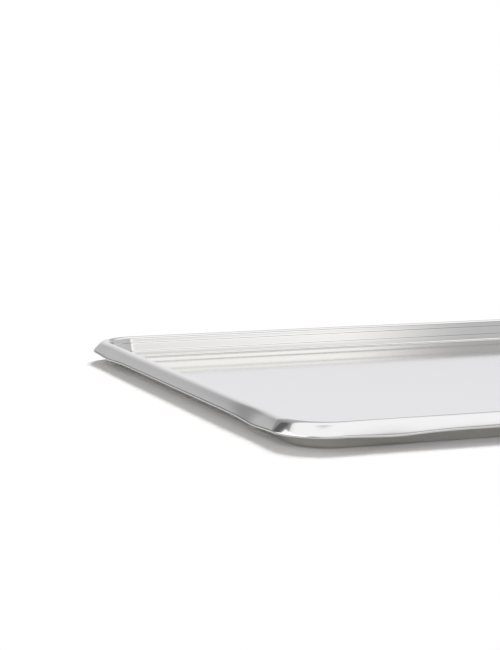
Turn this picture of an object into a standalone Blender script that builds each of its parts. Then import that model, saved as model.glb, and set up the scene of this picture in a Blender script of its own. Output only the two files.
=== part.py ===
"""Pastry tray: one sheet of stainless steel, pressed to shape and trimmed.

Metres, +Z up. X runs along the long sides and Y along the short ones. The origin is the
middle of the underside, which is the face that the tray rests on. The steel is described
by its show face, the side that carries the pastries, and its thickness is added below.
In plan every line of the pressing is a rectangle with round corners, given by its inset
from the rim's outer edge.
"""
from math import asin, atan2, cos, degrees, exp, hypot, pi, radians, sin, tan

import bmesh
import bpy

# Overall sizes, over the rim's outer edge
LENGTH = 0.400
WIDTH = 0.300
HEIGHT = 0.0117

# The sheet
SHEET = 0.0008

# The rim: from its crest it slopes outwards and down to a free edge. Bends are inside radii,
# a tight one from the crest into the wall and a wide one over the shoulder into the slope
CREST_INSET = 0.0060
CREST_BEND = 0.0009
SHOULDER_BEND = 0.0034
RIM_DROP = 0.0057
EDGE_BEND = 0.0004
EDGE_LIP = 0.0004
RIM_CROWN = 0.00010

# Past each end of a corner the rim's edge hangs lower, where the press drew the sheet in
DIP_DEPTH = 0.00095
DIP_PAST_CORNER = 0.018
DIP_SPREAD = 0.0155

# The inner wall leans outwards by the draft, in degrees. Two small ledges run round it, at
# these shares of its straight height
WALL_DRAFT = 8.0
LEDGE_DEPTH = 0.00015
LEDGE_SPAN = 0.0008
LEDGE_PLACES = (0.22, 0.74)
FOOT_BEND = 0.0012

# Corner radii in plan, of the rim's edge and of the panel inside the wall's foot
EDGE_CORNER = 0.0223
PANEL_CORNER = 0.0165

# Steps of the mesh
CORNER_STEPS = 9
CREST_STEPS = 4
SHOULDER_STEPS = 4
BEND_STEPS = 3
SLOPE_STEPS = 2
LEDGE_STEPS = 4
DIP_STATIONS = (-0.9, -0.3, 0.3, 1.1, 2.2)

STEEL_COLOUR = (0.63, 0.62, 0.60, 1.0)
STEEL_ROUGHNESS = 0.22
MERGE = 0.00005


def arc(centre, radius, start, end, steps):
    """Points of a bend in the section, as (inset, height), from angle start to end in degrees."""
    angles = [radians(start + (end - start) * i / steps) for i in range(steps + 1)]
    return [(centre[0] + radius * cos(a), centre[1] + radius * sin(a)) for a in angles]


def rim_section():
    """The rim from its free edge up the slope, over the shoulder and the crest, to the wall."""
    edge_height = HEIGHT - RIM_DROP
    edge_radius = EDGE_BEND + SHEET
    shoulder_radius = SHOULDER_BEND + SHEET
    crest_radius = CREST_BEND + SHEET
    edge_centre = (edge_radius, edge_height + EDGE_LIP)
    shoulder_centre = (CREST_INSET, HEIGHT - shoulder_radius)
    crest_centre = (CREST_INSET, HEIGHT - crest_radius)
    run = shoulder_centre[0] - edge_centre[0]
    rise = shoulder_centre[1] - edge_centre[1]
    slope = atan2(rise, run) + asin((shoulder_radius - edge_radius) / hypot(run, rise))
    normal = slope + pi / 2
    edge = [(0.0, edge_height)] + arc(edge_centre, edge_radius, 180, degrees(normal), BEND_STEPS)
    shoulder = arc(shoulder_centre, shoulder_radius, degrees(normal), 90, SHOULDER_STEPS)
    crest = arc(crest_centre, crest_radius, 90, WALL_DRAFT, CREST_STEPS)[1:]
    low, high = edge[-1], shoulder[0]
    between = []
    for i in range(1, SLOPE_STEPS + 1):
        share = i / (SLOPE_STEPS + 1)
        swell = RIM_CROWN * sin(pi * share)
        between.append((low[0] + (high[0] - low[0]) * share + swell * cos(normal),
                        low[1] + (high[1] - low[1]) * share + swell * sin(normal)))
    return edge + between + shoulder + crest


def smooth_step(t):
    """0 before the step, 1 after it, with a level start and end."""
    t = min(max(t, 0.0), 1.0)
    return t * t * (3 - 2 * t)


def wall_ends():
    """Heights between which the show face of the wall is straight, top first."""
    lean = sin(radians(WALL_DRAFT))
    top = HEIGHT - (CREST_BEND + SHEET) * (1 - lean)
    bottom = SHEET + FOOT_BEND * (1 - lean)
    return top, bottom


def ledge_heights():
    """Middle height of each ledge, on the straight of the wall."""
    top, bottom = wall_ends()
    return [top + (bottom - top) * place for place in LEDGE_PLACES]


def wall_inset(height):
    """Inset of the wall's show face at a height: it leans, and steps in at each ledge above."""
    draft = radians(WALL_DRAFT)
    inset = CREST_INSET + (CREST_BEND + SHEET) * cos(draft)
    inset += (wall_ends()[0] - height) * tan(draft)
    for ledge in ledge_heights():
        inset += LEDGE_DEPTH * smooth_step((ledge + LEDGE_SPAN / 2 - height) / LEDGE_SPAN)
    return inset


def wall_section():
    """The wall's ledges and the bend at its foot, down to the panel."""
    heights = []
    for ledge in ledge_heights():
        heights += [ledge + LEDGE_SPAN * (0.5 - i / LEDGE_STEPS) for i in range(LEDGE_STEPS + 1)]
    wall = [(wall_inset(height), height) for height in heights]
    bottom = wall_ends()[1]
    foot_centre = (wall_inset(bottom) + FOOT_BEND * cos(radians(WALL_DRAFT)), SHEET + FOOT_BEND)
    return wall + arc(foot_centre, FOOT_BEND, 180 + WALL_DRAFT, 270, 2 * BEND_STEPS)


def dip(past_corner, inset):
    """How much lower the rim hangs, past a corner; it fades out up the slope to the crest."""
    up_slope = smooth_step(1 - inset / CREST_INSET)
    return DIP_DEPTH * up_slope * exp(-((past_corner - DIP_PAST_CORNER) / DIP_SPREAD) ** 2)


def quarter_line(inset, height, panel_inset):
    """A quarter of one line of the pressing, from the long side's middle to the short side's."""
    radius = EDGE_CORNER + (PANEL_CORNER - EDGE_CORNER) * inset / panel_inset
    corner_end = max(EDGE_CORNER, panel_inset + PANEL_CORNER)
    side_x, side_y = LENGTH / 2 - inset, WIDTH / 2 - inset
    long_side = [(0.0, side_y, height)]
    short_side = [(side_x, 0.0, height)]
    for station in reversed(DIP_STATIONS):
        past_corner = DIP_PAST_CORNER + DIP_SPREAD * station
        low = height - dip(past_corner, inset)
        long_side.append((LENGTH / 2 - corner_end - past_corner, side_y, low))
        short_side.append((side_x, WIDTH / 2 - corner_end - past_corner, low))
    corner = []
    low = height - dip(inset + radius - corner_end, inset)
    for i in range(CORNER_STEPS + 1):
        angle = pi / 2 * (1 - i / CORNER_STEPS)
        corner.append((side_x - radius + radius * cos(angle), side_y - radius + radius * sin(angle), low))
    return long_side + corner + short_side[::-1]


def quarter_sheet():
    """A quarter of the show face: a loft through the lines of the section, and the panel."""
    section = rim_section() + wall_section()
    panel_inset = section[-1][0]
    bm = bmesh.new()
    lines = []
    for inset, height in section:
        lines.append([bm.verts.new(point) for point in quarter_line(inset, height, panel_inset)])
    for outer, inner in zip(lines, lines[1:]):
        for i in range(len(outer) - 1):
            bm.faces.new((outer[i], inner[i], inner[i + 1], outer[i + 1]))
    middle = bm.verts.new((0.0, 0.0, SHEET))
    bm.faces.new([middle] + lines[-1][::-1])
    mesh = bpy.data.meshes.new("tray_body")
    bm.to_mesh(mesh)
    bm.free()
    return mesh


def stainless_steel():
    """Stainless steel sheet with the fine satin of the rolling mill."""
    material = bpy.data.materials.new("stainless_steel")
    material.use_nodes = True
    shader = material.node_tree.nodes["Principled BSDF"]
    shader.inputs["Base Color"].default_value = STEEL_COLOUR
    shader.inputs["Metallic"].default_value = 1.0
    shader.inputs["Roughness"].default_value = STEEL_ROUGHNESS
    return material


def tray_body(parts):
    """The whole pressing: the quarter mirrored both ways, then given the sheet's thickness."""
    body = bpy.data.objects.new("tray_body", quarter_sheet())
    parts.objects.link(body)
    body.data.materials.append(stainless_steel())
    mirror = body.modifiers.new("both_ways", "MIRROR")
    mirror.use_axis = (True, True, False)
    mirror.merge_threshold = MERGE
    sheet = body.modifiers.new("sheet", "SOLIDIFY")
    sheet.thickness = SHEET
    sheet.offset = -1
    sheet.use_even_offset = True
    body.data.shade_smooth()


def main():
    """Clear the scene and make the tray."""
    for old in list(bpy.data.objects):
        bpy.data.objects.remove(old)
    parts = bpy.data.collections.new("pastry_tray")
    bpy.context.scene.collection.children.link(parts)
    tray_body(parts)


main()
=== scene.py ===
"""Pastry tray: the looks of one tray pressed from stainless steel, on a pale studio floor.

Metres, +Z up. X runs along the long sides and Y along the short ones. The origin is the
middle of the underside. The pressing is described by its section, one line across rim, wall
and foot, given by its inset from the rim's outer edge and its height above the floor. A
node tree carries that section round the tray.
"""

from math import atan, atan2, cos, pi, radians, sin, sqrt, tan

import bpy
from bpy.props import FloatProperty, FloatVectorProperty, PointerProperty
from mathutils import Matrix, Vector


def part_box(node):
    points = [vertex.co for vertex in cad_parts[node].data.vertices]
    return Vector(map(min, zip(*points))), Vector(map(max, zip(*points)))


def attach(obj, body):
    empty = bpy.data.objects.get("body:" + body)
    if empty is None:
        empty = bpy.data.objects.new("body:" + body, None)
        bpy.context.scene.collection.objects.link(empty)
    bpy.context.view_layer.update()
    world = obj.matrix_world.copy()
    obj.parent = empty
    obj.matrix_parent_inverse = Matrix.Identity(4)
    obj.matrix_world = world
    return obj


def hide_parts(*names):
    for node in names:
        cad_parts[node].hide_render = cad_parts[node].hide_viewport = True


bl_info = {
    "name": "Pastry Tray",
    "version": (1, 0, 0),
    "blender": (4, 5, 0),
    "location": "3D View > Sidebar > Pastry Tray",
    "description": "Makes a pressed stainless steel pastry tray and a small studio for it",
    "category": "Add Mesh",
}

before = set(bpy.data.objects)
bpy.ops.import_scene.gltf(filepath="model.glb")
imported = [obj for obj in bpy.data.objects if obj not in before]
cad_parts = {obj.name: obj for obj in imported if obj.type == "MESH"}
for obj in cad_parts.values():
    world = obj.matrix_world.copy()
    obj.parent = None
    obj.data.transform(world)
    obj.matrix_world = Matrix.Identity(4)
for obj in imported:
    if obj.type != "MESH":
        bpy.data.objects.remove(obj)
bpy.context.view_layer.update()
TRAY_LOW, TRAY_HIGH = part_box("tray_body")

# Steps of the mesh. Its close stations along a side reach this many spreads past a dip's middle
CORNER_STEPS = 24
DIP_STEPS = 20
DIP_REACH = 2.6
BURR_STEPS = 3
EDGE_STEPS = 12
SLOPE_STEPS = 8
SHOULDER_STEPS = 16
CREST_STEPS = 18
LEDGE_STEPS = 8
FOOT_STEPS = 20
# A narrow strip that keeps its own faces: inside the foot's bend, and past each corner's end
LAND = 0.0003
# How far above the upright lip the duller mark of the trimming tool reaches
TRIM_MARK = 0.0004

# The steel's finish. Rolling marks and scratches are finer than a tenth of a millimetre in
# life, and are drawn at a few tenths so that they show
SATIN_DEPTH = 0.0000006
CLOUDS_PER_METRE = 28.0
GLOSS_SPREAD = 0.2
SCRATCHES_PER_METRE = 2500.0
SCRATCH_DEPTH = 0.000004
SHEARED_ROUGHNESS = (0.18, 0.28)

# The photograph's height in pixels, the camera's focal length in the same pixels, and its
# place. It looks a little down, and to the right of +Y, by these angles in radians
FRAME_HEIGHT = 650
FOCAL_PIXELS = 1884.6
SENSOR = 36.0
CAMERA_PLACE = (-0.4730, -0.8250, 0.1398)
CAMERA_DOWN = 0.1199
CAMERA_RIGHT = 0.36177

# The room round the tray, by heading in degrees from +Y towards +X: white paper behind it and
# a little to the right, which ends sharply on the left; a dark gap, then pale walls all round
ROOM_BY_HEADING = ((-180, 0.74), (-150, 0.80), (-60, 0.80), (-36, 0.58), (-30, 0.29),
                   (-18.5, 0.29), (-16.5, 0.70), (-14, 0.74), (-8.5, 0.69), (-5, 0.76),
                   (4, 0.94), (13, 1.10), (60, 1.08), (80, 0.95), (180, 0.74))
# How much of that is left, by the height above the horizon in degrees
ROOM_BY_ELEVATION = ((0, 0.84), (7, 0.87), (10, 0.98), (14, 1.0), (90, 1.0))
# The paper's left end leans: its heading moves by the first number at the horizon and by the
# second at the height given last
PAPER_LEAN = (-10.5, 4.5, 20)
# The paper's top lies at these heights, by heading. Over it the wall is duller, by this share
# and after this many degrees
PAPER_TOP = ((-180, 26), (-60, 26), (-36, 15), (-16, 15), (6, 26), (10, 26), (24, 14), (60, 14),
             (90, 26), (180, 26))
PAPER_TOP_FADE = 4
OVER_PAPER = 0.60
# The ceiling takes over from the walls between the first two heights, and darkens towards
# the zenith between the next two
CEILING_FROM, CEILING_FULL = 42, 58
ZENITH_FROM, ZENITH_FULL = 76, 90
ZENITH_GREY = 0.25
# How far the floor reaches, and how far inside the tray's outline it is open
FLOOR_REACH = 20.0
FLOOR_OPENING = 0.016
# To mirrors only, the paper floor is painted dark, to this brightness, from here on left of the
# tray's middle: a painted dark reflection, where the camera still sees plain white paper
MIRRORED_DARK_FROM = -0.27
MIRRORED_DARK_SHINE = 0.15
# The tray's outline is moved to the left and to the front by this much to cover its shadow.
# Past that the floor turns to plain white over this distance
SHADOW_SHIFT = (0.001, 0.007, 0.0)
SHADOW_FADE = 0.010
# How far the softboxes are turned round the way they face, in degrees
OVERHEAD_TURN = 22.6
FRONT_TURN = 9


def linear(hex_colour):
    """An sRGB hex colour as the linear colour, with alpha, that Blender works in."""
    channels = [int(hex_colour[i:i + 2], 16) / 255 for i in (0, 2, 4)]
    return [c / 12.92 if c <= 0.04045 else ((c + 0.055) / 1.055) ** 2.4 for c in channels] + [1.0]


class TraySizes(bpy.types.PropertyGroup):
    """Sizes of the pressing. Its bends are given by their inside radii."""
    length: FloatProperty(
        name="Length", description="Over the rim's outer edge, along the long sides",
        default=TRAY_HIGH.x - TRAY_LOW.x, unit="LENGTH")
    width: FloatProperty(
        name="Width", description="Over the rim's outer edge, along the short sides",
        default=TRAY_HIGH.y - TRAY_LOW.y, unit="LENGTH")
    height: FloatProperty(
        name="Height", description="From the underside to the top of the crest",
        default=TRAY_HIGH.z - TRAY_LOW.z, unit="LENGTH")
    sheet: FloatProperty(
        name="Sheet", description="Thickness of the steel", default=0.0008, unit="LENGTH")
    crest_inset: FloatProperty(
        name="Crest Inset", description="From the rim's outer edge to the top of the crest",
        default=0.0060, unit="LENGTH")
    crest_bend: FloatProperty(
        name="Crest Bend", description="Inside radius of the tight bend from crest to wall",
        default=0.0009, unit="LENGTH")
    shoulder_bend: FloatProperty(
        name="Shoulder Bend", description="Inside radius of the wide bend from crest to rim",
        default=0.0034, unit="LENGTH")
    wall_draft: FloatProperty(
        name="Wall Draft", description="How far the walls lean outwards from upright",
        default=radians(8), subtype="ANGLE")
    rim_drop: FloatProperty(
        name="Rim Drop", description="How far the rim's free edge lies below the crest",
        default=0.0057, unit="LENGTH")
    rim_crown: FloatProperty(
        name="Rim Crown", description="How far the rim's slope bulges between edge and shoulder",
        default=0.00010, unit="LENGTH")
    edge_bend: FloatProperty(
        name="Edge Bend", description="Inside radius where the rim turns down to its free edge",
        default=0.0004, unit="LENGTH")
    edge_lip: FloatProperty(
        name="Edge Lip", description="Upright part of the free edge",
        default=0.0004, unit="LENGTH")
    burr_round: FloatProperty(
        name="Burr Round", description="Radius left on the trimmed edge after it was deburred",
        default=0.00012, unit="LENGTH")
    foot_bend: FloatProperty(
        name="Foot Bend", description="Inside radius between wall and panel",
        default=0.0012, unit="LENGTH")
    ledge_depth: FloatProperty(
        name="Ledge Depth", description="How far the wall steps in at each ledge",
        default=0.00015, unit="LENGTH")
    ledge_span: FloatProperty(
        name="Ledge Span", description="Height over which a ledge steps in",
        default=0.0008, unit="LENGTH")
    upper_ledge: FloatProperty(
        name="Upper Ledge", description="Its place, as a share of the wall's straight height",
        default=0.22, subtype="FACTOR")
    lower_ledge: FloatProperty(
        name="Lower Ledge", description="Its place, as a share of the wall's straight height",
        default=0.74, subtype="FACTOR")
    edge_corner: FloatProperty(
        name="Edge Corner", description="Corner radius in plan of the rim's outer edge",
        default=0.0223, unit="LENGTH")
    panel_corner: FloatProperty(
        name="Panel Corner", description="Corner radius in plan of the flat panel",
        default=0.0165, unit="LENGTH")
    dip_depth: FloatProperty(
        name="Dip Depth", description="How far the free edge hangs lower past each corner",
        default=0.00095, unit="LENGTH")
    dip_past_corner: FloatProperty(
        name="Dip Past Corner", description="From a corner's end to where the edge hangs lowest",
        default=0.018, unit="LENGTH")
    dip_spread: FloatProperty(
        name="Dip Spread", description="How far a dip spreads along the side",
        default=0.0155, unit="LENGTH")


class SteelFinish(bpy.types.PropertyGroup):
    """Colours and surface of the steel."""
    steel: FloatVectorProperty(
        name="Steel", description="Colour of the polished faces", subtype="COLOR", size=4,
        default=linear("CFCECB"))
    sheared: FloatVectorProperty(
        name="Sheared Edge", description="Colour of the trimmed edge", subtype="COLOR", size=4,
        default=linear("C2C1BF"))
    gloss: FloatProperty(
        name="Gloss Roughness", description="Roughness of the polished faces",
        default=0.08, subtype="FACTOR")
    satin_pitch: FloatProperty(
        name="Satin Pitch", description="Spacing of the rolling marks across the sheet",
        default=0.0005, unit="LENGTH")
    satin_run: FloatProperty(
        name="Satin Run", description="Length of a rolling mark along the sheet",
        default=0.045, unit="LENGTH")


class Studio(bpy.types.PropertyGroup):
    """Brightness of what lights the tray. White paper shines with 1."""
    overhead: FloatProperty(
        name="Overhead Softbox", description="Radiance of the softbox over the tray", default=0.65)
    front: FloatProperty(
        name="Front Softbox", description="Radiance of the softbox behind the camera",
        default=1.06)
    left: FloatProperty(
        name="Left Softbox", description="Radiance of the softbox to the left", default=1.2)
    fill: FloatProperty(
        name="Fill Light", description="Radiance of the light in front that softens the shadow",
        default=5.4)
    back: FloatProperty(
        name="Back Light", description="Radiance of the light high behind the tray", default=23.0)
    ceiling: FloatProperty(
        name="Ceiling", description="Radiance of the room's ceiling", default=0.84)
    room_fill: FloatProperty(
        name="Room Fill", description="Share of the room's light that reaches the paper floor",
        default=0.25, subtype="FACTOR")
    backdrop: FloatVectorProperty(
        name="Backdrop", description="Colour of the paper behind the tray",
        subtype="COLOR", size=4, default=linear("FBFBFF"))
    paper: FloatVectorProperty(
        name="Paper", description="Colour of the paper floor",
        subtype="COLOR", size=4, default=linear("FCFAF8"))


def add_node(tree, kind, settings, inputs):
    """A new node, with its settings and with each input given a value or linked to an output."""
    node = tree.nodes.new(kind)
    for name, value in settings.items():
        setattr(node, name, value)
    for name, value in inputs.items():
        if isinstance(value, bpy.types.NodeSocket):
            tree.links.new(value, node.inputs[name])
        else:
            node.inputs[name].default_value = value
    return node


def bend(centre, radius, start, end, steps, hollow=False):
    """Points of a bend as (inset, height, direction the surface faces), angles in radians."""
    points = []
    for i in range(steps + 1):
        angle = start + (end - start) * i / steps
        facing = angle + pi if hollow else angle
        points.append((centre[0] + radius * cos(angle), centre[1] + radius * sin(angle), facing))
    return points


def rim_line(sizes):
    """The rim's show face: its upright lip, the slope, the wide shoulder and the tight crest."""
    edge_height = sizes.height - sizes.rim_drop
    edge_radius = sizes.edge_bend + sizes.sheet
    shoulder_radius = sizes.shoulder_bend + sizes.sheet
    crest_radius = sizes.crest_bend + sizes.sheet
    edge = Vector((edge_radius, edge_height + sizes.edge_lip))
    shoulder = Vector((sizes.crest_inset, sizes.height - shoulder_radius))
    crest = Vector((sizes.crest_inset, sizes.height - crest_radius))
    # The slope is an arc that touches the bends at edge and shoulder
    between = shoulder - edge
    slope_radius = between.length ** 2 / (8 * sizes.rim_crown)
    to_edge, to_shoulder = slope_radius - edge_radius, slope_radius - shoulder_radius
    along = (to_edge ** 2 - to_shoulder ** 2 + between.length ** 2) / (2 * between.length)
    across = sqrt(to_edge ** 2 - along ** 2)
    unit = between.normalized()
    slope = edge + along * unit + across * Vector((unit.y, -unit.x))
    low = atan2(edge.y - slope.y, edge.x - slope.x)
    high = atan2(shoulder.y - slope.y, shoulder.x - slope.x)
    return (bend(edge, edge_radius, pi, low, EDGE_STEPS)
            + bend(slope, slope_radius, low, high, SLOPE_STEPS)[1:]
            + bend(shoulder, shoulder_radius, high, pi / 2, SHOULDER_STEPS)[1:]
            + bend(crest, crest_radius, pi / 2, sizes.wall_draft, CREST_STEPS)[1:])


def wall_line(sizes):
    """The wall's show face with its two ledges, and the bend at its foot, down to the panel."""
    draft = sizes.wall_draft
    crest_radius = sizes.crest_bend + sizes.sheet
    top = sizes.height - crest_radius * (1 - sin(draft))
    top_inset = sizes.crest_inset + crest_radius * cos(draft)
    foot_height = sizes.sheet + sizes.foot_bend
    bottom = foot_height - sizes.foot_bend * sin(draft)
    stepped = 0.0
    line = []
    for share in (sizes.upper_ledge, sizes.lower_ledge):
        middle = top + (bottom - top) * share
        for i in range(LEDGE_STEPS + 1):
            t = i / LEDGE_STEPS
            height = middle + sizes.ledge_span * (0.5 - t)
            step = stepped + sizes.ledge_depth * t * t * (3 - 2 * t)
            inset = top_inset + (top - height) * tan(draft) + step
            lean = atan(tan(draft) + sizes.ledge_depth / sizes.ledge_span * 6 * t * (1 - t))
            line.append((inset, height, lean))
        stepped += sizes.ledge_depth
    bottom_inset = top_inset + (top - bottom) * tan(draft) + stepped
    foot = (bottom_inset + sizes.foot_bend * cos(draft), foot_height)
    line += bend(foot, sizes.foot_bend, pi + draft, 1.5 * pi, FOOT_STEPS, hollow=True)
    panel = (foot[0] + LAND, sizes.sheet, pi / 2)
    return line + [panel]


def section_points(sizes):
    """The whole section, from the panel over the rim to its trimmed edge and back below.

    Each point holds its own inset, the inset of the show face at that place, and its height.
    """
    show = rim_line(sizes) + wall_line(sizes)
    burr = sizes.burr_round
    trim_height = sizes.height - sizes.rim_drop + burr
    outer = bend((burr, trim_height), burr, pi, 1.5 * pi, BURR_STEPS)
    inner = bend((sizes.sheet - burr, trim_height), burr, 1.5 * pi, 2 * pi, BURR_STEPS)
    points = [(inset, inset, height) for inset, height, facing in reversed(show)]
    points += [(inset, 0.0, height) for inset, height, facing in outer + inner]
    for inset, height, facing in show:
        below = height - sizes.sheet * sin(facing)
        points.append((inset - sizes.sheet * cos(facing), inset, below))
    return points


def ring_points(sizes):
    """Stations round the rim's outer edge, close together round corners and along dips."""
    radius = sizes.edge_corner
    half_x, half_y = sizes.length / 2 - radius, sizes.width / 2 - radius
    centres = ((half_x, half_y), (-half_x, half_y), (-half_x, -half_y), (half_x, -half_y))
    reach = sizes.dip_past_corner + DIP_REACH * sizes.dip_spread
    stations = [LAND] + [reach * i / DIP_STEPS for i in range(1, DIP_STEPS + 1)]
    points = []
    for turn, (x, y) in enumerate(centres):
        for i in range(CORNER_STEPS + 1):
            angle = (turn + i / CORNER_STEPS) * pi / 2
            points.append((x + radius * cos(angle), y + radius * sin(angle), 0.0))
        run = 2 * (half_x if turn % 2 == 0 else half_y)
        corner_end = Vector(points[-1])
        onward = Vector((cos(angle + pi / 2), sin(angle + pi / 2), 0.0))
        for station in stations + [run - station for station in reversed(stations)]:
            points.append(tuple(corner_end + onward * station))
    return points


def guide_curve(name, points, cyclic):
    """A curve through the points, for a node tree to read."""
    curve = bpy.data.curves.new(name, "CURVE")
    curve.dimensions = "3D"
    spline = curve.splines.new("POLY")
    spline.points.add(len(points) - 1)
    for point, place in zip(spline.points, points):
        point.co = (*place, 1.0)
    spline.use_cyclic_u = cyclic
    guide = bpy.data.objects.new(name, curve)
    bpy.context.scene.collection.objects.link(guide)
    return guide


def add_inputs(tree, values):
    """A named input on the tree for each value, and the identifiers to set them by."""
    kinds = {float: "NodeSocketFloat", bpy.types.Object: "NodeSocketObject",
             bpy.types.Material: "NodeSocketMaterial"}
    identifiers = {}
    for name, value in values.items():
        socket = tree.interface.new_socket(name, in_out="INPUT", socket_type=kinds[type(value)])
        identifiers[name] = socket.identifier
    return identifiers


def corner_radius(tree, given, inset):
    """The corner radius of a line of the pressing: it falls evenly from the edge to the panel."""
    shrink = add_node(tree, "ShaderNodeMapRange", {"clamp": False}, {
        "Value": inset, "From Min": 0.0, "From Max": given["Panel Inset"],
        "To Min": given["Edge Corner"], "To Max": given["Panel Corner"]})
    return shrink.outputs["Result"]


def plan_place(tree, given, ring, own_inset, inset, radius):
    """Where a point lies in plan, and how far it is along the side from the corner's end.

    A line of the pressing is the rectangle of its corners' centres, grown by the radius.
    """
    half = add_node(tree, "ShaderNodeCombineXYZ", {}, {
        "X": given["Half Length"], "Y": given["Half Width"]})
    edge_square = add_node(tree, "ShaderNodeCombineXYZ", {}, {
        "X": given["Edge Corner"], "Y": given["Edge Corner"]})
    edge_centres = add_node(tree, "ShaderNodeVectorMath", {"operation": "SUBTRACT"}, {
        0: half.outputs[0], 1: edge_square.outputs[0]})
    opposite = add_node(tree, "ShaderNodeVectorMath", {"operation": "SCALE"}, {
        0: edge_centres.outputs[0], "Scale": -1.0})
    above = add_node(tree, "ShaderNodeVectorMath", {"operation": "MAXIMUM"}, {
        0: ring, 1: opposite.outputs[0]})
    centre = add_node(tree, "ShaderNodeVectorMath", {"operation": "MINIMUM"}, {
        0: above.outputs[0], 1: edge_centres.outputs[0]})
    from_centre = add_node(tree, "ShaderNodeVectorMath", {"operation": "SUBTRACT"}, {
        0: ring, 1: centre.outputs[0]})
    outwards = add_node(tree, "ShaderNodeVectorMath", {"operation": "NORMALIZE"}, {
        0: from_centre.outputs[0]})
    drawn_in = add_node(tree, "ShaderNodeMath", {"operation": "ADD"}, {0: inset, 1: radius})
    line_square = add_node(tree, "ShaderNodeCombineXYZ", {}, {
        "X": drawn_in.outputs[0], "Y": drawn_in.outputs[0]})
    line_centres = add_node(tree, "ShaderNodeVectorMath", {"operation": "SUBTRACT"}, {
        0: half.outputs[0], 1: line_square.outputs[0]})
    share = add_node(tree, "ShaderNodeVectorMath", {"operation": "DIVIDE"}, {
        0: centre.outputs[0], 1: edge_centres.outputs[0]})
    line_centre = add_node(tree, "ShaderNodeVectorMath", {"operation": "MULTIPLY"}, {
        0: share.outputs[0], 1: line_centres.outputs[0]})
    own_radius = add_node(tree, "ShaderNodeMath", {"operation": "SUBTRACT"}, {
        0: drawn_in.outputs[0], 1: own_inset})
    grown = add_node(tree, "ShaderNodeVectorMath", {"operation": "SCALE"}, {
        0: outwards.outputs[0], "Scale": own_radius.outputs[0]})
    place = add_node(tree, "ShaderNodeVectorMath", {"operation": "ADD"}, {
        0: line_centre.outputs[0], 1: grown.outputs[0]})
    size = add_node(tree, "ShaderNodeVectorMath", {"operation": "ABSOLUTE"}, {
        0: line_centre.outputs[0]})
    short_by = add_node(tree, "ShaderNodeVectorMath", {"operation": "SUBTRACT"}, {
        0: line_centres.outputs[0], 1: size.outputs[0]})
    along_side = add_node(tree, "ShaderNodeVectorMath", {"operation": "LENGTH"}, {
        0: short_by.outputs[0]})
    past_corner = add_node(tree, "ShaderNodeMath", {"operation": "ADD"}, {
        0: along_side.outputs["Value"], 1: drawn_in.outputs[0]})
    return place.outputs[0], past_corner.outputs[0]


def dip(tree, given, inset, past_corner):
    """How much lower the rim hangs: a bell shape along the side that fades out up the slope."""
    up_slope = add_node(tree, "ShaderNodeMapRange", {"interpolation_type": "SMOOTHSTEP"}, {
        "Value": inset, "From Min": 0.0, "From Max": given["Crest Inset"],
        "To Min": 1.0, "To Max": 0.0})
    off_middle = add_node(tree, "ShaderNodeMath", {"operation": "SUBTRACT"}, {
        0: past_corner, 1: given["Dip Middle"]})
    spreads = add_node(tree, "ShaderNodeMath", {"operation": "DIVIDE"}, {
        0: off_middle.outputs[0], 1: given["Dip Spread"]})
    squared = add_node(tree, "ShaderNodeMath", {"operation": "MULTIPLY"}, {
        0: spreads.outputs[0], 1: spreads.outputs[0]})
    falling = add_node(tree, "ShaderNodeMath", {"operation": "MULTIPLY"}, {
        0: squared.outputs[0], 1: -1.0})
    bell = add_node(tree, "ShaderNodeMath", {"operation": "EXPONENT"}, {0: falling.outputs[0]})
    full = add_node(tree, "ShaderNodeMath", {"operation": "MULTIPLY"}, {
        0: bell.outputs[0], 1: given["Dip Depth"]})
    faded = add_node(tree, "ShaderNodeMath", {"operation": "MULTIPLY"}, {
        0: full.outputs[0], 1: up_slope.outputs["Result"]})
    return faded.outputs[0]


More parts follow.
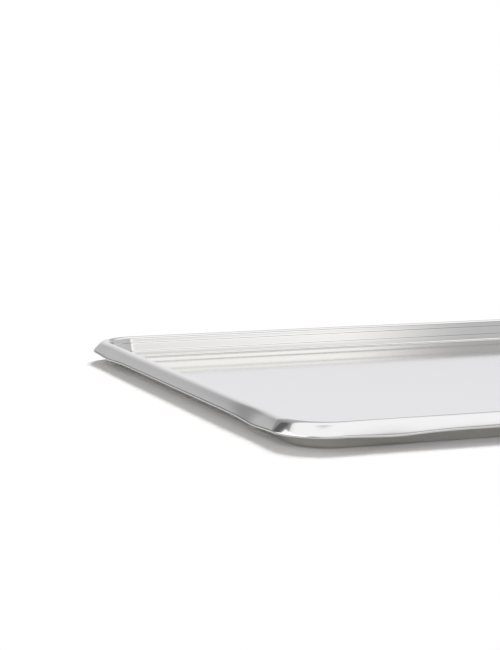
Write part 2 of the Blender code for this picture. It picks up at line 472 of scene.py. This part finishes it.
def pressing_tree(values):
    """The node tree that lofts the section round the ring, and the identifiers of its inputs."""
    tree = bpy.data.node_groups.new("pressing", "GeometryNodeTree")
    identifiers = add_inputs(tree, values)
    tree.interface.new_socket("Geometry", in_out="OUTPUT", socket_type="NodeSocketGeometry")
    given = add_node(tree, "NodeGroupInput", {}, {}).outputs
    position = add_node(tree, "GeometryNodeInputPosition", {}, {}).outputs["Position"]
    marked = {}
    for name in ("Section", "Ring"):
        guide = add_node(tree, "GeometryNodeObjectInfo", {}, {"Object": given[name]})
        capture = tree.nodes.new("GeometryNodeCaptureAttribute")
        capture.capture_items.new("VECTOR", "Place")
        tree.links.new(guide.outputs["Geometry"], capture.inputs["Geometry"])
        tree.links.new(position, capture.inputs["Place"])
        marked[name] = capture.outputs
    loft = add_node(tree, "GeometryNodeCurveToMesh", {}, {
        "Curve": marked["Section"]["Geometry"], "Profile Curve": marked["Ring"]["Geometry"],
        "Fill Caps": True})
    section = add_node(tree, "ShaderNodeSeparateXYZ", {}, {0: marked["Section"]["Place"]}).outputs
    own_inset, inset, height = section["X"], section["Y"], section["Z"]
    radius = corner_radius(tree, given, inset)
    place, past_corner = plan_place(
        tree, given, marked["Ring"]["Place"], own_inset, inset, radius)
    plan = add_node(tree, "ShaderNodeSeparateXYZ", {}, {0: place}).outputs
    lowered = add_node(tree, "ShaderNodeMath", {"operation": "SUBTRACT"}, {
        0: height, 1: dip(tree, given, inset, past_corner)})
    put = add_node(tree, "ShaderNodeCombineXYZ", {}, {
        "X": plan["X"], "Y": plan["Y"], "Z": lowered.outputs[0]})
    outwards = add_node(tree, "GeometryNodeFlipFaces", {}, {"Mesh": loft.outputs["Mesh"]})
    placed = add_node(tree, "GeometryNodeSetPosition", {}, {
        "Geometry": outwards.outputs["Mesh"], "Position": put.outputs[0]})
    smooth = add_node(tree, "GeometryNodeSetShadeSmooth", {}, {
        "Geometry": placed.outputs["Geometry"]})
    real = add_node(tree, "GeometryNodeRealizeInstances", {}, {
        "Geometry": smooth.outputs["Geometry"]})
    steel = add_node(tree, "GeometryNodeSetMaterial", {}, {
        "Geometry": real.outputs["Geometry"], "Material": given["Steel"]})
    less_than = {"data_type": "FLOAT", "operation": "LESS_THAN"}
    at_edge = add_node(tree, "FunctionNodeCompare", less_than, {"A": inset, "B": LAND})
    below_mark = add_node(tree, "FunctionNodeCompare", less_than, {
        "A": height, "B": given["Trim Height"]})
    trimmed = add_node(tree, "FunctionNodeBooleanMath", {"operation": "AND"}, {
        0: at_edge.outputs[0], 1: below_mark.outputs[0]})
    sheared = add_node(tree, "GeometryNodeSetMaterial", {}, {
        "Geometry": steel.outputs["Geometry"], "Selection": trimmed.outputs[0],
        "Material": given["Sheared Edge"]})
    add_node(tree, "NodeGroupOutput", {}, {"Geometry": sheared.outputs["Geometry"]})
    return tree, identifiers


def polished_stainless(finish):
    """Polished stainless steel sheet.

    Bright rolled and lightly polished, so it mirrors the room a little softened. Rolling left
    the faintest satin along the sheet, and handling leaves it slightly cloudy.
    """
    material = bpy.data.materials.new("polished_stainless")
    material.use_nodes = True
    tree = material.node_tree
    shader = tree.nodes["Principled BSDF"]
    shader.inputs["Base Color"].default_value = finish.steel
    shader.inputs["Metallic"].default_value = 1.0
    place = add_node(tree, "ShaderNodeTexCoord", {}, {}).outputs["Object"]
    rolled = add_node(tree, "ShaderNodeMapping", {"vector_type": "POINT"}, {
        "Vector": place,
        "Scale": (1 / finish.satin_run, 1 / finish.satin_pitch, 1 / finish.satin_pitch)})
    satin = add_node(tree, "ShaderNodeTexNoise", {}, {
        "Vector": rolled.outputs[0], "Scale": 1.0, "Detail": 3.0, "Roughness": 0.6})
    cloud = add_node(tree, "ShaderNodeTexNoise", {}, {
        "Vector": place, "Scale": CLOUDS_PER_METRE, "Detail": 4.0, "Roughness": 0.55})
    both = add_node(tree, "ShaderNodeMath", {"operation": "ADD"}, {
        0: satin.outputs["Fac"], 1: cloud.outputs["Fac"]})
    roughness = add_node(tree, "ShaderNodeMapRange", {}, {
        "Value": both.outputs[0], "From Min": 0.6, "From Max": 1.4,
        "To Min": finish.gloss * (1 - GLOSS_SPREAD), "To Max": finish.gloss * (1 + GLOSS_SPREAD)})
    marks = add_node(tree, "ShaderNodeBump", {}, {
        "Strength": 1.0, "Distance": SATIN_DEPTH, "Height": satin.outputs["Fac"]})
    tree.links.new(roughness.outputs["Result"], shader.inputs["Roughness"])
    tree.links.new(marks.outputs["Normal"], shader.inputs["Normal"])
    return material


def sheared_stainless(finish):
    """Sheared stainless steel edge.

    It was trimmed in a press and deburred. That leaves the edge, its lip and the last of the
    rim's slope duller, with fine scratches.
    """
    material = bpy.data.materials.new("sheared_stainless")
    material.use_nodes = True
    tree = material.node_tree
    shader = tree.nodes["Principled BSDF"]
    shader.inputs["Base Color"].default_value = finish.sheared
    shader.inputs["Metallic"].default_value = 1.0
    place = add_node(tree, "ShaderNodeTexCoord", {}, {}).outputs["Object"]
    scratches = add_node(tree, "ShaderNodeTexNoise", {}, {
        "Vector": place, "Scale": SCRATCHES_PER_METRE, "Detail": 3.0})
    roughness = add_node(tree, "ShaderNodeMapRange", {}, {
        "Value": scratches.outputs["Fac"], "From Min": 0.3, "From Max": 0.7,
        "To Min": SHEARED_ROUGHNESS[0], "To Max": SHEARED_ROUGHNESS[1]})
    grooves = add_node(tree, "ShaderNodeBump", {}, {
        "Strength": 1.0, "Distance": SCRATCH_DEPTH, "Height": scratches.outputs["Fac"]})
    tree.links.new(roughness.outputs["Result"], shader.inputs["Roughness"])
    tree.links.new(grooves.outputs["Normal"], shader.inputs["Normal"])
    return material


class PASTRYTRAY_OT_tray_body(bpy.types.Operator):
    """Press the tray's sheet: section, corners, dips and trimmed edge"""
    bl_idname = "pastry_tray.tray_body"
    bl_label = "Tray Body"

    def execute(self, context):
        sizes, finish = context.scene.tray_sizes, context.scene.steel_finish
        section = section_points(sizes)
        panel_inset = section[0][0] - LAND
        corner_end = panel_inset + sizes.panel_corner
        guides = (guide_curve("section", section, cyclic=False),
                  guide_curve("ring", ring_points(sizes), cyclic=True))
        values = {
            "Section": guides[0], "Ring": guides[1],
            "Half Length": sizes.length / 2, "Half Width": sizes.width / 2,
            "Edge Corner": sizes.edge_corner, "Panel Corner": sizes.panel_corner,
            "Panel Inset": panel_inset, "Crest Inset": sizes.crest_inset,
            "Dip Depth": sizes.dip_depth, "Dip Middle": corner_end + sizes.dip_past_corner,
            "Dip Spread": sizes.dip_spread,
            "Trim Height": sizes.height - sizes.rim_drop + sizes.edge_lip + TRIM_MARK,
            "Steel": polished_stainless(finish), "Sheared Edge": sheared_stainless(finish),
        }
        tree, identifiers = pressing_tree(values)
        tray = bpy.data.objects.new("pressed_sheet", bpy.data.meshes.new("pressed_sheet"))
        context.scene.collection.objects.link(tray)
        pressing = tray.modifiers.new("pressing", "NODES")
        pressing.node_group = tree
        for name, value in values.items():
            pressing[identifiers[name]] = value
        depsgraph = context.evaluated_depsgraph_get()
        mesh = bpy.data.meshes.new_from_object(
            tray.evaluated_get(depsgraph), preserve_all_data_layers=True, depsgraph=depsgraph)
        if not mesh.polygons:
            raise RuntimeError("The node tree gave the tray no faces")
        tray.modifiers.clear()
        tray.data = mesh
        mesh.name = "pressed_sheet"
        for guide in guides:
            bpy.data.objects.remove(guide)
        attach(tray, "root")
        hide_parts("tray_body")
        return {"FINISHED"}


def floor_sheet(sizes):
    """The floor's mesh. It is open where the tray's flat bottom covers it."""
    mesh = bpy.data.meshes.new("paper_floor")
    opening = (sizes.length / 2 - FLOOR_OPENING, sizes.width / 2 - FLOOR_OPENING)
    points = []
    for half_x, half_y in (opening, (FLOOR_REACH, FLOOR_REACH)):
        points += [(half_x, half_y, 0.0), (-half_x, half_y, 0.0),
                   (-half_x, -half_y, 0.0), (half_x, -half_y, 0.0)]
    sides = [(i, i + 4, (i + 1) % 4 + 4, (i + 1) % 4) for i in range(4)]
    mesh.from_pydata(points, [], sides)
    return mesh


def paper_floor(studio, sizes):
    """White paper: lit and shaded close to the tray, plain white further off, in mirrors too,
    except far to the left, where mirrors see it painted dark.

    From below it can't be seen, so that it never hides the tray's underside.
    """
    material = bpy.data.materials.new("white_paper")
    material.use_nodes = True
    tree = material.node_tree
    tree.nodes.clear()
    place = add_node(tree, "ShaderNodeTexCoord", {}, {}).outputs["Object"]
    half = (sizes.length / 2, sizes.width / 2, 0.0)
    shifted = add_node(tree, "ShaderNodeVectorMath", {"operation": "ADD"}, {
        0: place, 1: SHADOW_SHIFT})
    size = add_node(tree, "ShaderNodeVectorMath", {"operation": "ABSOLUTE"}, {
        0: shifted.outputs[0]})
    outside = add_node(tree, "ShaderNodeVectorMath", {"operation": "SUBTRACT"}, {
        0: size.outputs[0], 1: half})
    clear_of = add_node(tree, "ShaderNodeVectorMath", {"operation": "MAXIMUM"}, {
        0: outside.outputs[0], 1: (0.0, 0.0, 0.0)})
    distance = add_node(tree, "ShaderNodeVectorMath", {"operation": "LENGTH"}, {
        0: clear_of.outputs[0]})
    far = add_node(tree, "ShaderNodeMapRange", {"interpolation_type": "SMOOTHSTEP"}, {
        "Value": distance.outputs["Value"], "From Max": SHADOW_FADE})
    path = add_node(tree, "ShaderNodeLightPath", {}, {}).outputs
    camera_or_glossy = add_node(tree, "ShaderNodeMath", {"operation": "ADD"}, {
        0: path["Is Camera Ray"], 1: path["Is Glossy Ray"]})
    seen = add_node(tree, "ShaderNodeMath", {"operation": "ADD", "use_clamp": True}, {
        0: camera_or_glossy.outputs[0], 1: path["Is Transmission Ray"]})
    plain = add_node(tree, "ShaderNodeMath", {"operation": "MULTIPLY"}, {
        0: far.outputs["Result"], 1: seen.outputs[0]})
    paper = add_node(tree, "ShaderNodeBsdfDiffuse", {}, {"Color": studio.paper})
    # Painted dark reflection: to glossy rays only, the floor far to the left gives a dim white
    # instead of full white
    across = add_node(tree, "ShaderNodeSeparateXYZ", {}, {0: place}).outputs["X"]
    past_mirrored_dark = add_node(tree, "ShaderNodeMath", {"operation": "LESS_THAN"}, {
        0: across, 1: MIRRORED_DARK_FROM})
    painted_dark_reflection = add_node(tree, "ShaderNodeMath", {"operation": "MULTIPLY"}, {
        0: past_mirrored_dark.outputs[0], 1: path["Is Glossy Ray"]})
    shine = add_node(tree, "ShaderNodeMapRange", {}, {
        "Value": painted_dark_reflection.outputs[0], "To Min": 1.0, "To Max": MIRRORED_DARK_SHINE})
    white = add_node(tree, "ShaderNodeEmission", {}, {"Strength": shine.outputs["Result"]})
    mixed = add_node(tree, "ShaderNodeMixShader", {}, {
        0: plain.outputs[0], 1: paper.outputs[0], 2: white.outputs[0]})
    below = add_node(tree, "ShaderNodeNewGeometry", {}, {}).outputs["Backfacing"]
    clear = add_node(tree, "ShaderNodeBsdfTransparent", {}, {})
    one_sided = add_node(tree, "ShaderNodeMixShader", {}, {
        0: below, 1: mixed.outputs[0], 2: clear.outputs[0]})
    add_node(tree, "ShaderNodeOutputMaterial", {}, {"Surface": one_sided.outputs[0]})
    return material


def angle_ramp(tree, angle, stops):
    """A grey ramp over an angle in radians, through stops given in degrees."""
    low, high = radians(stops[0][0]), radians(stops[-1][0])
    share = add_node(tree, "ShaderNodeMapRange", {}, {
        "Value": angle, "From Min": low, "From Max": high})
    ramp = add_node(tree, "ShaderNodeValToRGB", {}, {"Fac": share.outputs["Result"]})
    elements = ramp.color_ramp.elements
    for degree, grey in stops[1:-1]:
        elements.new((radians(degree) - low) / (high - low))
    for element, (degree, grey) in zip(elements, stops):
        element.color = (grey, grey, grey, 1.0)
    return ramp.outputs["Color"]


def studio_room(studio):
    """The room as the steel mirrors it: its walls by heading and elevation, and its ceiling."""
    world = bpy.data.worlds.new("studio_room")
    world.use_nodes = True
    tree = world.node_tree
    background = tree.nodes["Background"]
    direction = add_node(tree, "ShaderNodeTexCoord", {}, {}).outputs["Generated"]
    toward = add_node(tree, "ShaderNodeSeparateXYZ", {}, {0: direction}).outputs
    heading = add_node(tree, "ShaderNodeMath", {"operation": "ARCTAN2"}, {
        0: toward["X"], 1: toward["Y"]})
    elevation = add_node(tree, "ShaderNodeMath", {"operation": "ARCSINE"}, {0: toward["Z"]})
    low_lean, high_lean, lean_top = (radians(angle) for angle in PAPER_LEAN)
    lean = add_node(tree, "ShaderNodeMapRange", {}, {
        "Value": elevation.outputs[0], "From Max": lean_top,
        "To Min": low_lean, "To Max": high_lean})
    leaned = add_node(tree, "ShaderNodeMath", {"operation": "ADD"}, {
        0: heading.outputs[0], 1: lean.outputs["Result"]})
    walls = add_node(tree, "ShaderNodeMix", {"data_type": "RGBA", "blend_type": "MULTIPLY"}, {
        "Factor": 1.0, 6: angle_ramp(tree, leaned.outputs[0], ROOM_BY_HEADING),
        7: angle_ramp(tree, elevation.outputs[0], ROOM_BY_ELEVATION)})
    # Heights go through the ramp as shares of a right angle
    heights = [(degree, height / 90) for degree, height in PAPER_TOP]
    top = add_node(tree, "ShaderNodeMath", {"operation": "MULTIPLY"}, {
        0: angle_ramp(tree, heading.outputs[0], heights), 1: pi / 2})
    over_top = add_node(tree, "ShaderNodeMath", {"operation": "SUBTRACT"}, {
        0: elevation.outputs[0], 1: top.outputs[0]})
    duller = add_node(tree, "ShaderNodeMapRange", {"interpolation_type": "SMOOTHSTEP"}, {
        "Value": over_top.outputs[0], "From Max": radians(PAPER_TOP_FADE),
        "To Min": 1.0, "To Max": OVER_PAPER})
    upper_wall = add_node(tree, "ShaderNodeMix", {"data_type": "RGBA", "blend_type": "MULTIPLY"}, {
        "Factor": 1.0, 6: walls.outputs[2], 7: duller.outputs["Result"]})
    overhead = add_node(tree, "ShaderNodeMapRange", {"interpolation_type": "SMOOTHSTEP"}, {
        "Value": elevation.outputs[0], "From Min": radians(CEILING_FROM),
        "From Max": radians(CEILING_FULL)})
    toward_zenith = add_node(tree, "ShaderNodeMapRange", {"interpolation_type": "SMOOTHSTEP"}, {
        "Value": elevation.outputs[0], "From Min": radians(ZENITH_FROM),
        "From Max": radians(ZENITH_FULL), "To Min": studio.ceiling, "To Max": ZENITH_GREY})
    room = add_node(tree, "ShaderNodeMix", {"data_type": "RGBA"}, {
        "Factor": overhead.outputs["Result"], 6: upper_wall.outputs[2],
        7: toward_zenith.outputs["Result"]})
    tinted = add_node(tree, "ShaderNodeMix", {"data_type": "RGBA", "blend_type": "MULTIPLY"}, {
        "Factor": 1.0, 6: room.outputs[2], 7: studio.backdrop})
    path = add_node(tree, "ShaderNodeLightPath", {}, {}).outputs
    seen = add_node(tree, "ShaderNodeMix", {"data_type": "RGBA"}, {
        "Factor": path["Is Camera Ray"], 6: tinted.outputs[2], 7: (1.0, 1.0, 1.0, 1.0)})
    fill = add_node(tree, "ShaderNodeMapRange", {}, {
        "Value": path["Is Diffuse Ray"], "To Min": 1.0, "To Max": studio.room_fill})
    tree.links.new(seen.outputs[2], background.inputs["Color"])
    tree.links.new(fill.outputs["Result"], background.inputs["Strength"])
    return world


def softbox(name, radiance, size, location, target, edges):
    """A rectangular softbox of that radiance, turned to face the target.

    It is dimmer over its edges, shares of its half width and height, as cloth over a lamp is.
    """
    lamp = bpy.data.lights.new(name, "AREA")
    lamp.shape = "RECTANGLE"
    lamp.size, lamp.size_y = size
    lamp.energy = radiance * pi * size[0] * size[1]
    lamp.use_nodes = True
    tree = lamp.node_tree
    across = add_node(tree, "ShaderNodeNewGeometry", {}, {}).outputs["Parametric"]
    centred = add_node(tree, "ShaderNodeVectorMath", {"operation": "SUBTRACT"}, {
        0: across, 1: (0.5, 0.5, 0.0)})
    off_middle = add_node(tree, "ShaderNodeVectorMath", {"operation": "ABSOLUTE"}, {
        0: centred.outputs[0]})
    sides = add_node(tree, "ShaderNodeSeparateXYZ", {}, {0: off_middle.outputs[0]}).outputs
    fades = []
    for side, edge in zip(("X", "Y"), edges):
        fades.append(add_node(tree, "ShaderNodeMapRange", {"interpolation_type": "SMOOTHSTEP"}, {
            "Value": sides[side], "From Min": 0.5, "From Max": 0.5 - edge / 2}))
    cloth = add_node(tree, "ShaderNodeMath", {"operation": "MULTIPLY"}, {
        0: fades[0].outputs["Result"], 1: fades[1].outputs["Result"]})
    tree.links.new(cloth.outputs[0], tree.nodes["Emission"].inputs["Strength"])
    box = bpy.data.objects.new(name, lamp)
    box.location = location
    facing = Vector(target) - Vector(location)
    box.rotation_euler = facing.to_track_quat("-Z", "Y").to_euler()
    bpy.context.scene.collection.objects.link(box)
    return box


class PASTRYTRAY_OT_stage(bpy.types.Operator):
    """Set up the paper floor, the softboxes, the room and the camera"""
    bl_idname = "pastry_tray.stage"
    bl_label = "Stage"

    def execute(self, context):
        scene = context.scene
        sizes, studio = scene.tray_sizes, scene.studio
        floor = bpy.data.objects.new("paper_floor", floor_sheet(sizes))
        scene.collection.objects.link(floor)
        floor.data.materials.append(paper_floor(studio, sizes))
        overhead = softbox("overhead_softbox", studio.overhead, size=(2.4, 1.44),
                           location=(0.15, 0.0, 0.9), target=(0.15, 0.0, 0.0), edges=(0.08, 0.05))
        overhead.rotation_euler.z = radians(OVERHEAD_TURN)
        overhead.data.color = studio.backdrop[:3]
        overhead.visible_diffuse = False
        front = softbox("front_softbox", studio.front, size=(3.2, 1.9),
                        location=(0.0, -2.6, 1.37), target=(0.0, 0.0, 1.37), edges=(0.23, 0.60))
        front.rotation_euler.y = radians(FRONT_TURN)
        softbox("left_softbox", studio.left, size=(4.0, 2.6),
                location=(-2.2, 0.3, 1.6), target=(0.0, 0.3, 1.6), edges=(0.2, 0.2))
        fill = softbox("fill_light", studio.fill, size=(1.6, 0.7),
                       location=(-1.1, -2.1, 1.15), target=(0.0, 0.0, 0.0), edges=(0.3, 0.3))
        fill.visible_glossy = False
        back = softbox("back_light", studio.back, size=(1.1, 0.7),
                       location=(0.70, 1.15, 1.24), target=(0.0, 0.0, 0.0), edges=(0.3, 0.3))
        back.visible_glossy = False
        scene.world = studio_room(studio)
        lens = bpy.data.cameras.new("camera")
        lens.lens = FOCAL_PIXELS * SENSOR / FRAME_HEIGHT
        lens.sensor_width = SENSOR
        camera = bpy.data.objects.new("camera", lens)
        camera.location = CAMERA_PLACE
        camera.rotation_euler = (pi / 2 - CAMERA_DOWN, 0.0, -CAMERA_RIGHT)
        scene.collection.objects.link(camera)
        scene.camera = camera
        scene.view_settings.view_transform = "Standard"
        return {"FINISHED"}


class PASTRYTRAY_PT_panel(bpy.types.Panel):
    """The tray's pieces and sizes"""
    bl_label = "Pastry Tray"
    bl_space_type = "VIEW_3D"
    bl_region_type = "UI"
    bl_category = "Pastry Tray"

    def draw(self, context):
        layout = self.layout
        for operator in OPERATORS:
            layout.operator(operator.bl_idname)
        for group in (context.scene.tray_sizes, context.scene.steel_finish, context.scene.studio):
            column = layout.column(align=True)
            for name in group.__annotations__:
                column.prop(group, name)


OPERATORS = (PASTRYTRAY_OT_tray_body, PASTRYTRAY_OT_stage)
CLASSES = (TraySizes, SteelFinish, Studio, *OPERATORS, PASTRYTRAY_PT_panel)


def register():
    """Register the classes and hang the sizes and colours on the scene."""
    for made in CLASSES:
        bpy.utils.register_class(made)
    bpy.types.Scene.tray_sizes = PointerProperty(type=TraySizes)
    bpy.types.Scene.steel_finish = PointerProperty(type=SteelFinish)
    bpy.types.Scene.studio = PointerProperty(type=Studio)


def unregister():
    """Undo what register did."""
    del bpy.types.Scene.studio
    del bpy.types.Scene.steel_finish
    del bpy.types.Scene.tray_sizes
    for made in reversed(CLASSES):
        bpy.utils.unregister_class(made)


def main():
    """Make the tray and its stage."""
    register()
    bpy.ops.pastry_tray.tray_body()
    bpy.ops.pastry_tray.stage()


if __name__ == "__main__":
    main()
